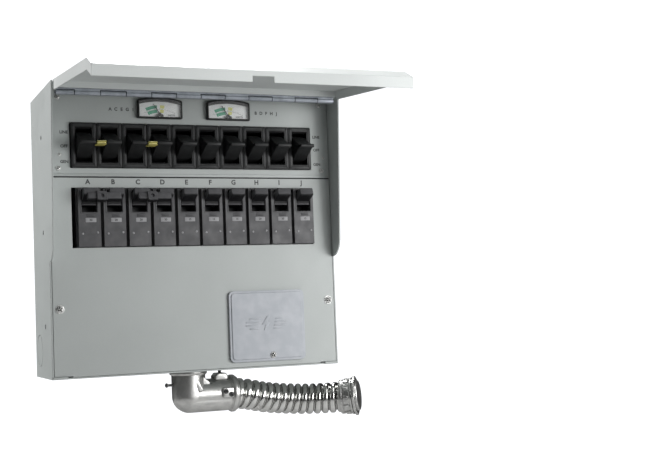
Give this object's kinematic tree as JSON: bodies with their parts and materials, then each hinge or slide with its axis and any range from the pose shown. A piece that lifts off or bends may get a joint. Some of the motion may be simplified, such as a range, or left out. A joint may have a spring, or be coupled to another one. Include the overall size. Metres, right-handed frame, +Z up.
{
  "type": "manual transfer switch",
  "caption": "Wall cabinet of folded sheet steel with a hinged lid, a row of three-position switches, a row of plug-in breakers, two meters, a covered inlet and a short conduit tail.",
  "frame": {"origin": "centre of the cabinet's back face, which lies on the wall", "axes": "+Z up, +Y into the wall, so the covers face -Y; +X to the right as seen from the front"},
  "size_m": [0.3409, 0.3013, 0.347],
  "materials": {
    "grey_paint": "light grey powder coat with a fine orange-peel texture",
    "lid_paint": "the same powder coat on the lid",
    "zinc_screw": "bright zinc-plated steel",
    "hinge_steel": "painted and rolled hinge steel",
    "switch_black": "black moulded plastic, fine matt grain",
    "breaker_grey": "dark grey thermoset moulding",
    "handle_black": "black moulded handle",
    "yellow_tie": "yellow moulded plastic",
    "meter_black": "black moulded meter case",
    "pointer_black": "black lacquered pointer",
    "plate_grey": "bluish grey moulded plate, satin",
    "brass_bar": "drawn brass",
    "cast_zinc": "die-cast zinc, slightly rough",
    "conduit_steel": "galvanised interlocked strip"
  },
  "bodies": {
    "cabinet": {"cabinet_shell": "grey_paint", "switch_panel": "grey_paint", "lower_cover": "grey_paint", "cover_screw_left": "zinc_screw", "cover_screw_right": "zinc_screw", "hinge_fixed_leaf": "hinge_steel", "hinge_pin": "hinge_steel", "meter_left": "meter_black", "meter_right": "meter_black", "power_inlet": "switch_black", "inlet_cover_plate": "plate_grey", "breaker_rail": "zinc_screw", "neutral_bar": "brass_bar", "conduit_elbow": "cast_zinc", "flexible_conduit": "conduit_steel", "conduit_connector": "cast_zinc", "switch_body_a": "switch_black", "breaker_a": "breaker_grey", "switch_body_b": "switch_black", "breaker_b": "breaker_grey", "switch_body_c": "switch_black", "breaker_c": "breaker_grey", "switch_body_d": "switch_black", "breaker_d": "breaker_grey", "switch_body_e": "switch_black", "breaker_e": "breaker_grey", "switch_body_f": "switch_black", "breaker_f": "breaker_grey", "switch_body_g": "switch_black", "breaker_g": "breaker_grey", "switch_body_h": "switch_black", "breaker_h": "breaker_grey", "switch_body_i": "switch_black", "breaker_i": "breaker_grey", "switch_body_j": "switch_black", "breaker_j": "breaker_grey"},
    "lid": {"lid": "lid_paint", "hinge_lid_leaf": "hinge_steel"},
    "lever_ab": {"switch_lever_a": "switch_black", "switch_lever_b": "switch_black", "lever_tie_ab": "yellow_tie"},
    "lever_cd": {"switch_lever_c": "switch_black", "switch_lever_d": "switch_black", "lever_tie_cd": "yellow_tie"},
    "handles_ab": {"breaker_handles_ab": "handle_black"},
    "handles_cd": {"breaker_handles_cd": "handle_black"},
    "pointer_left": {"meter_pointer_left": "pointer_black"},
    "pointer_right": {"meter_pointer_right": "pointer_black"},
    "lever_e": {"switch_lever_e": "switch_black"},
    "handle_e": {"breaker_handle_e": "handle_black"},
    "lever_f": {"switch_lever_f": "switch_black"},
    "handle_f": {"breaker_handle_f": "handle_black"},
    "lever_g": {"switch_lever_g": "switch_black"},
    "handle_g": {"breaker_handle_g": "handle_black"},
    "lever_h": {"switch_lever_h": "switch_black"},
    "handle_h": {"breaker_handle_h": "handle_black"},
    "lever_i": {"switch_lever_i": "switch_black"},
    "handle_i": {"breaker_handle_i": "handle_black"},
    "lever_j": {"switch_lever_j": "switch_black"},
    "handle_j": {"breaker_handle_j": "handle_black"}
  },
  "joints": [
    {"name": "lid_hinge", "type": "hinge", "parent": "cabinet", "child": "lid", "pos_m": [0, -0.1195, 0.1332], "axis": [1, 0, 0], "range_deg": [-4.4, 91.5]},
    {"name": "switch_ab", "type": "hinge", "parent": "cabinet", "child": "lever_ab", "pos_m": [-0.1016, -0.084, 0.08565], "axis": [1, 0, 0], "range_deg": [-20, 20]},
    {"name": "switch_cd", "type": "hinge", "parent": "cabinet", "child": "lever_cd", "pos_m": [-0.0508, -0.084, 0.08565], "axis": [1, 0, 0], "range_deg": [-20, 20]},
    {"name": "switch_e", "type": "hinge", "parent": "cabinet", "child": "lever_e", "pos_m": [-0.0127, -0.084, 0.08565], "axis": [1, 0, 0], "range_deg": [-20, 20]},
    {"name": "switch_f", "type": "hinge", "parent": "cabinet", "child": "lever_f", "pos_m": [0.0127, -0.084, 0.08565], "axis": [1, 0, 0], "range_deg": [-20, 20]},
    {"name": "switch_g", "type": "hinge", "parent": "cabinet", "child": "lever_g", "pos_m": [0.0381, -0.084, 0.08565], "axis": [1, 0, 0], "range_deg": [-20, 20]},
    {"name": "switch_h", "type": "hinge", "parent": "cabinet", "child": "lever_h", "pos_m": [0.0635, -0.084, 0.08565], "axis": [1, 0, 0], "range_deg": [-20, 20]},
    {"name": "switch_i", "type": "hinge", "parent": "cabinet", "child": "lever_i", "pos_m": [0.0889, -0.084, 0.08565], "axis": [1, 0, 0], "range_deg": [-20, 20]},
    {"name": "switch_j", "type": "hinge", "parent": "cabinet", "child": "lever_j", "pos_m": [0.1143, -0.084, 0.08565], "axis": [1, 0, 0], "range_deg": [-20, 20]},
    {"name": "breaker_ab", "type": "hinge", "parent": "cabinet", "child": "handles_ab", "pos_m": [-0.098, -0.086, 0.0304], "axis": [1, 0, 0], "range_deg": [0, 42]},
    {"name": "breaker_cd", "type": "hinge", "parent": "cabinet", "child": "handles_cd", "pos_m": [-0.0476, -0.086, 0.0304], "axis": [1, 0, 0], "range_deg": [0, 42]},
    {"name": "breaker_e", "type": "hinge", "parent": "cabinet", "child": "handle_e", "pos_m": [-0.0098, -0.086, 0.0304], "axis": [1, 0, 0], "range_deg": [0, 42]},
    {"name": "breaker_f", "type": "hinge", "parent": "cabinet", "child": "handle_f", "pos_m": [0.0154, -0.086, 0.0304], "axis": [1, 0, 0], "range_deg": [0, 42]},
    {"name": "breaker_g", "type": "hinge", "parent": "cabinet", "child": "handle_g", "pos_m": [0.0406, -0.086, 0.0304], "axis": [1, 0, 0], "range_deg": [0, 42]},
    {"name": "breaker_h", "type": "hinge", "parent": "cabinet", "child": "handle_h", "pos_m": [0.0658, -0.086, 0.0304], "axis": [1, 0, 0], "range_deg": [0, 42]},
    {"name": "breaker_i", "type": "hinge", "parent": "cabinet", "child": "handle_i", "pos_m": [0.091, -0.086, 0.0304], "axis": [1, 0, 0], "range_deg": [0, 42]},
    {"name": "breaker_j", "type": "hinge", "parent": "cabinet", "child": "handle_j", "pos_m": [0.1162, -0.086, 0.0304], "axis": [1, 0, 0], "range_deg": [0, 42]},
    {"name": "meter_left", "type": "hinge", "parent": "cabinet", "child": "pointer_left", "pos_m": [-0.0363, -0.0969, 0.1184], "axis": [0, 1, 0], "range_deg": [0, 68], "stiffness_Nm_per_rad": 0.0001},
    {"name": "meter_right", "type": "hinge", "parent": "cabinet", "child": "pointer_right", "pos_m": [0.0363, -0.0969, 0.1184], "axis": [0, 1, 0], "range_deg": [0, 68], "stiffness_Nm_per_rad": 0.0001}
  ]
}
